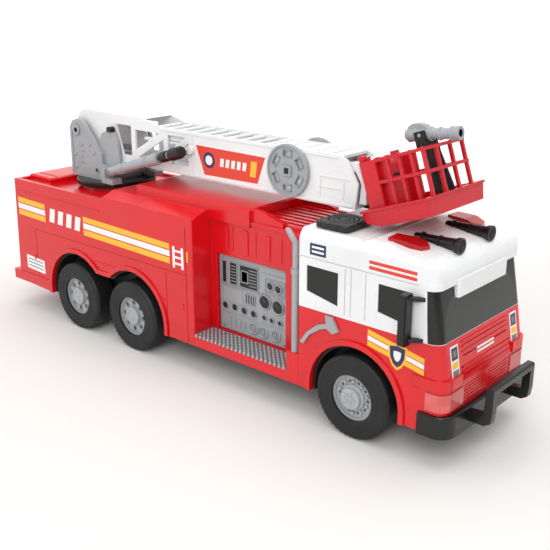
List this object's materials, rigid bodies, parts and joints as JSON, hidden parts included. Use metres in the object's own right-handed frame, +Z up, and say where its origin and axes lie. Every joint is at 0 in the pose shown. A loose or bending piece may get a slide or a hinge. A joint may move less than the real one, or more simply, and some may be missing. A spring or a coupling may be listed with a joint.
{
  "type": "toy fire engine",
  "caption": "Toy ladder fire engine with a swivelling, raising and extending ladder, a rescue basket with a water cannon, and rolling wheels.",
  "frame": {"origin": "on the ground, under the middle of the whole toy", "axes": "+X towards the cab's front, +Y towards the truck's left side, +Z up"},
  "size_m": [0.58, 0.154, 0.2481],
  "materials": {
    "red_shell": "gloss",
    "white_shell": "gloss",
    "black_trim": "satin",
    "grey_plastic": "satin",
    "silver_plate": "satin",
    "tyre_black": "matte",
    "hub_silver": "satin",
    "basket_crimson": "gloss",
    "lamp_red": "gloss",
    "lens_clear": "gloss",
    "dark_window": "gloss",
    "steel": "brushed",
    "board_green": "matte",
    "cell_case": "satin",
    "pan_black": "matte"
  },
  "bodies": {
    "chassis": {"chassis_pan": "pan_black", "body_shell": "red_shell", "cab_lower": "red_shell", "cab_upper": "white_shell", "windshield": "dark_window", "side_windows": "dark_window", "headlight_lenses": "lens_clear", "beacon_right": "lamp_red", "beacon_left": "lamp_red", "air_horns": "black_trim", "mirror_right": "black_trim", "mirror_left": "black_trim", "bumper": "black_trim", "pump_panels": "grey_plastic", "side_steps": "silver_plate", "exhaust_pipes": "grey_plastic", "fire_axes": "grey_plastic", "battery_door": "pan_black", "battery_cells": "cell_case", "circuit_board": "board_green", "speaker": "black_trim", "button_switch": "black_trim", "body_screws": "steel"},
    "rear_wheels": {"rear_axle": "steel", "rear_tyre_right": "tyre_black", "rear_tyre_left": "tyre_black", "rear_hub_right": "hub_silver", "rear_hub_left": "hub_silver"},
    "middle_wheels": {"middle_axle": "steel", "middle_tyre_right": "tyre_black", "middle_tyre_left": "tyre_black", "middle_hub_right": "hub_silver", "middle_hub_left": "hub_silver"},
    "front_wheels": {"front_axle": "steel", "front_tyre_right": "tyre_black", "front_tyre_left": "tyre_black", "front_hub_right": "hub_silver", "front_hub_left": "hub_silver"},
    "turntable": {"turntable_disc": "black_trim", "turntable_washer": "steel", "boom_yoke": "grey_plastic", "yoke_knobs": "black_trim", "boom_pin": "steel"},
    "boom": {"boom_housing": "white_shell"},
    "ram_right": {"ram_barrel_right": "grey_plastic"},
    "ram_left": {"ram_barrel_left": "grey_plastic"},
    "piston_right": {"ram_rod_right": "black_trim"},
    "piston_left": {"ram_rod_left": "black_trim"},
    "crank": {"crank_shaft": "steel", "crank_wheel_right": "grey_plastic", "crank_wheel_left": "grey_plastic"},
    "fly": {"fly_ladder": "white_shell", "tip_bracket": "black_trim"},
    "rescue_basket": {"basket": "basket_crimson", "basket_pin": "steel"},
    "monitor": {"monitor_post": "black_trim"},
    "nozzle": {"monitor_barrel": "grey_plastic"},
    "siren_button": {"sound_button": "black_trim"},
    "switch_slider": {"power_switch": "black_trim"}
  },
  "joints": [
    {"name": "rear_roll", "type": "hinge", "parent": "chassis", "child": "rear_wheels", "pos_m": [-0.1717, 0, 0.0355], "axis": [0, 1, 0], "continuous": true},
    {"name": "middle_roll", "type": "hinge", "parent": "chassis", "child": "middle_wheels", "pos_m": [-0.0839, 0, 0.0355], "axis": [0, 1, 0], "continuous": true},
    {"name": "front_roll", "type": "hinge", "parent": "chassis", "child": "front_wheels", "pos_m": [0.185, 0, 0.0355], "axis": [0, 1, 0], "continuous": true},
    {"name": "turntable_swivel", "type": "hinge", "parent": "chassis", "child": "turntable", "pos_m": [-0.179, 0, 0.15], "axis": [0, 0, 1], "continuous": true},
    {"name": "boom_elevation", "type": "hinge", "parent": "turntable", "child": "boom", "pos_m": [-0.2066, 0, 0.2018], "axis": [0, -1, 0], "range_deg": [0, 40]},
    {"name": "ram_swing_right", "type": "hinge", "parent": "turntable", "child": "ram_right", "pos_m": [-0.147, -0.03, 0.1665], "axis": [0, -1, 0], "range_deg": [0, 46.5]},
    {"name": "ram_swing_left", "type": "hinge", "parent": "turntable", "child": "ram_left", "pos_m": [-0.147, 0.03, 0.1665], "axis": [0, -1, 0], "range_deg": [0, 46.5]},
    {"name": "ram_stroke_right", "type": "slide", "parent": "ram_right", "child": "piston_right", "axis": [0.9543, 0, 0.2988], "range_m": [0, 0.0451]},
    {"name": "ram_stroke_left", "type": "slide", "parent": "ram_left", "child": "piston_left", "axis": [0.9543, 0, 0.2988], "range_m": [0, 0.0451]},
    {"name": "ladder_extension", "type": "slide", "parent": "boom", "child": "fly", "axis": [1, 0, 0], "range_m": [0, 0.13]},
    {"name": "crank_turn", "type": "hinge", "parent": "boom", "child": "crank", "pos_m": [0.0789, 0, 0.1972], "axis": [0, 1, 0], "range_deg": [0, 1066]},
    {"name": "basket_tilt", "type": "hinge", "parent": "fly", "child": "rescue_basket", "pos_m": [0.1645, 0, 0.1767], "axis": [0, -1, 0], "range_deg": [-59.1, 0]},
    {"name": "monitor_swivel", "type": "hinge", "parent": "rescue_basket", "child": "monitor", "pos_m": [0.2168, 0, 0.18571], "axis": [-0.3256, 0, 0.9455], "range_deg": [-40, 40]},
    {"name": "nozzle_tilt", "type": "hinge", "parent": "monitor", "child": "nozzle", "pos_m": [0.19857, 0, 0.23866], "axis": [0, -1, 0], "range_deg": [0, 30]},
    {"name": "siren_press", "type": "slide", "parent": "chassis", "child": "siren_button", "axis": [0, 0, -1], "range_m": [0, 0.001], "stiffness_N_per_m": 400, "springref_m": -0.002},
    {"name": "power_slide", "type": "slide", "parent": "chassis", "child": "switch_slider", "axis": [1, 0, 0], "range_m": [0, 0.004]}
  ],
  "couplings": [
    {"joint": "ram_swing_right", "follows": "boom_elevation", "ratio": 1.1625},
    {"joint": "ram_swing_left", "follows": "boom_elevation", "ratio": 1.1625},
    {"joint": "ram_stroke_right", "follows": "boom_elevation", "m_per_rad": 0.0645},
    {"joint": "ram_stroke_left", "follows": "boom_elevation", "m_per_rad": 0.0645},
    {"joint": "crank_turn", "follows": "ladder_extension", "rad_per_m": 142.86},
    {"joint": "basket_tilt", "follows": "boom_elevation", "ratio": -1.475}
  ]
}
